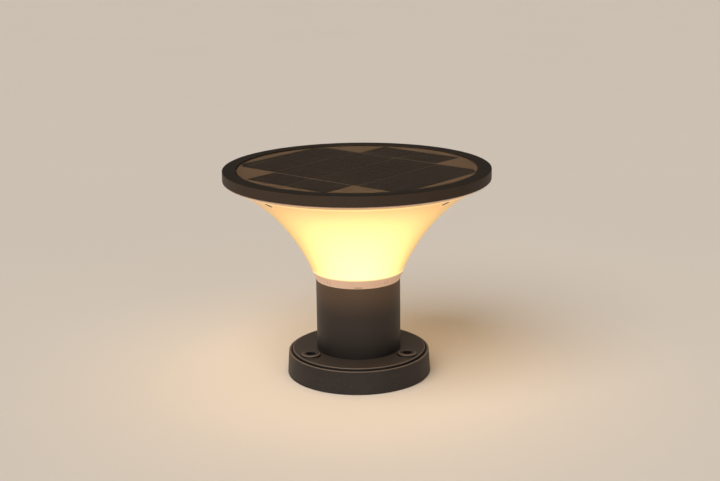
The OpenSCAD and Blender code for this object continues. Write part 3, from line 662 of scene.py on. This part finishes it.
def column(paint):
    """Round column with three screw ports inside."""
    bore_r, port_wall_r = 1.75, 4.2
    tube = lathe([(COLUMN_IN_R, COLUMN_Z, 0.2), (COLUMN_R, COLUMN_Z, 0.25),
                  (COLUMN_R, NECK_Z, 0.3), (COLUMN_IN_R, NECK_Z, 0.2)])
    port = [(bore_r, COLUMN_Z, 0), (port_wall_r, COLUMN_Z, 0),
            (port_wall_r, NECK_Z, 0), (bore_r, NECK_Z, 0)]
    ports = [lathe(port, 32, spot) for spot in around(PORT_ANGLES, PORT_R)]
    web_size, web_centre = (1.6, 4.2, 69), (37.2, 0, 58.4)
    webs = [block(web_size, web_centre, turn, 0.1) for turn in PORT_ANGLES]
    piece("column", joined(tube, *ports, *webs), paint, "column_tube")


def flare_line(inset=0.0):
    """Outline of the flare from the neck to the rim, moved into the wall by inset."""
    points = interpolate_bezier(*[Vector((r, z, 0)) for r, z in FLARE], 56)
    last = len(points) - 1
    moved = []
    for i, point in enumerate(points):
        along = points[min(i + 1, last)] - points[max(i - 1, 0)]
        moved.append(point + inset * Vector((-along.y, along.x, 0)).normalized())
    return [(p.x, p.y, 0) for p in moved]


def trumpet(finish):
    """Opal diffuser: flared wall, clamped lip and four screw bosses under the ring."""
    wall, mouth_r, lip_r, lip_out_r = 2.5, 37.7, 117, 123.4
    seat_r, seat_z = 28, 95
    inner = [(r, z, 0) for r, z, _ in reversed(flare_line(wall))
             if mouth_r < r < lip_r and BAND_Z + 1 < z < FLANGE_Z]
    shell = lathe([(seat_r, NECK_Z, 0.2), *flare_line(), (lip_out_r, FLANGE_Z, 0.2),
                   (lip_r, FLANGE_Z, 0), *inner, (mouth_r, BAND_Z, 0), (mouth_r, seat_z, 0),
                   (seat_r, seat_z, 0.2)])
    # The bosses are bars cut off at the flare, just inside its outer face
    boss_r, screw_r, pocket_z, core_z = 5.5, 1.7, 185.5, 150
    core = lathe([(0, core_z, 0), *[p for p in flare_line(0.8) if p[1] > core_z],
                  (0, FLANGE_Z, 0)])
    spots = around(FLANGE_SCREW_ANGLES, FLANGE_SCREW_R)
    bars = joined(*[rod(boss_r, 170, FLANGE_Z, spot) for spot in spots])
    whole = carved(shell, carved(core, bars, "INTERSECT"), "UNION")
    whole = carved(whole, joined(*[rod(POCKET_R, 168, pocket_z, spot) for spot in spots]))
    whole = carved(whole, joined(*[rod(screw_r, 180, 192, spot) for spot in spots]))
    bmesh.ops.remove_doubles(whole, verts=whole.verts, dist=MERGE)
    piece("trumpet", whole, finish, "diffuser", crease=40)


def top_ring(paint):
    """Cast ring with its recess, shelf, pressing rib and screw bosses."""
    recess_r, shelf_r, shelf_z, ledge_z = 112.6, 100, 195.6, 193
    rib_in_r, rib_out_r, rib_z = 117.7, 119.7, 191.2
    skirt_in_r, skirt_z = 122, 197
    ring = lathe([
        (recess_r, RING_TOP_Z, 0.35), (RING_R, RING_TOP_Z, 0.8), (RING_R, FLANGE_Z, 0.6),
        (skirt_in_r, FLANGE_Z, 0.3), (skirt_in_r, skirt_z, 0.4), (rib_out_r, skirt_z, 0.4),
        (rib_out_r, rib_z, 0.3), (rib_in_r, rib_z, 0.3), (rib_in_r, ledge_z, 0.3),
        (shelf_r, ledge_z, 0.3), (shelf_r, shelf_z, 0.3), (recess_r, shelf_z, 0.2),
    ])
    boss_r, over = 4.5, 0.4
    bosses = [rod(boss_r, FLANGE_Z, ledge_z + over, spot)
              for spot in around(FLANGE_SCREW_ANGLES, FLANGE_SCREW_R)]
    piece("top_ring", joined(ring, *bosses), paint, "bezel_ring")


def cover_pane(finish):
    """Round glass over the cells, with a ground edge."""
    pane_r, low, high = 112.1, 197.2, 199.2
    pane = lathe([(0, low, 0), (pane_r, low, 0.3), (pane_r, high, 0.4), (0, high, 0)])
    piece("cover_pane", pane, finish, "panel_glass")


def dress(finishes):
    """Gives each CAD node that stays its finish."""
    for finish, nodes in finishes:
        for node in nodes:
            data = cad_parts[node].data
            data.materials.clear()
            data.materials.append(finish)


# ---------------------------------------------------------------- studio

def studio_floor():
    """Wide pale floor, in metres."""
    bm = bmesh.new()
    bmesh.ops.create_circle(bm, cap_ends=True, segments=96, radius=30)
    mesh = meshed("studio_floor", bm)
    mesh.materials.append(floor_skin())
    placed("studio_floor", mesh)


def soft_light(name, turn, height, spread, strength):
    """Soft far light: turn about the lamp from the front, height and spread in degrees."""
    light = bpy.data.lights.new(name, "SUN")
    light.angle = math.radians(spread)
    light.energy = strength
    made = placed(name, light)
    made.rotation_euler = (math.radians(90 - height), 0, math.radians(turn))


def studio_air():
    """Even pale light from all sides."""
    world = bpy.data.worlds.new("studio_air")
    world.use_nodes = True
    air = world.node_tree.nodes["Background"]
    air.inputs["Color"].default_value = shade(234, 224, 212)
    air.inputs["Strength"].default_value = 0.3
    bpy.context.scene.world = world


def camera():
    """Camera where the photograph was taken from, in metres."""
    place = Vector((0, -1.164511, 0.434655))
    pitch, yaw, roll = (math.radians(a) for a in (14.7110, 0.10907, -0.66517))
    ahead = Vector((math.sin(yaw) * math.cos(pitch), math.cos(yaw) * math.cos(pitch),
                    -math.sin(pitch)))
    right = Vector((math.cos(yaw), -math.sin(yaw), 0))
    up = right.cross(ahead)
    side = math.cos(roll) * right + math.sin(roll) * up
    top = math.cos(roll) * up - math.sin(roll) * right
    lens = bpy.data.cameras.new("camera")
    lens.sensor_width = 36
    lens.lens = 63.763
    made = placed("camera", lens)
    axes = Matrix((side, top, -ahead)).transposed()
    made.matrix_world = Matrix.Translation(place) @ axes.to_4x4()
    bpy.context.scene.camera = made


# ---------------------------------------------------------------- the lamp

camera()
studio_air()
studio_floor()
soft_light("key_light", turn=-35, height=52, spread=50, strength=2.2)
soft_light("front_light", turn=10, height=22, spread=60, strength=0.5)

base_coat = cast_paint()
steel = screw_steel()
plastic = black_plastic()
nickel = switch_metal()

base_casting(base_coat)
column(column_paint())
trumpet(opal())
top_ring(ring_paint())
cover_pane(panel_pane())
softened("hatch_cover", "bottom_cover", 0.3, base_coat)
softened("switch_case", "switch_body", 0.2, nickel)
softened("button", "button_cap", 0.35, plastic, "power_button")
softened("column_screws", "base_screws", 0.25, steel)
softened("hatch_screws", "cover_screws", 0.25, steel)
softened("rim_screws", "flange_screws", 0.25, steel)
dress([
    (cell_face(), ["solar_cells"]),
    (backing(), ["panel_backsheet"]),
    (ribbon_tin(), ["cell_ribbons", "battery_tabs"]),
    (steel, ["cap_screws", "led_screws", "reflector_screws"]),
    (cap_metal(), ["column_cap"]),
    (nickel, ["switch_nut"]),
    (seal_rubber(), ["cover_gasket", "neck_oring", "cap_grommet", "plate_grommet",
                     "flange_seal"]),
    (bead_paste(), ["panel_adhesive"]),
    (plastic, ["battery_holder_lower", "battery_holder_upper", "control_components",
               "panel_lead", "panel_terminal"]),
    (white_plastic(), ["reflector_plate"]),
    (board_green(), ["control_board"]),
    (board_white(), ["led_board"]),
    (light_dot(), ["led_chips"]),
    (cell_sleeve(), ["battery_cells"]),
    (wire_skin(), ["battery_lead", "switch_lead", "led_lead"]),
])

bpy.context.scene.view_settings.view_transform = "Standard"
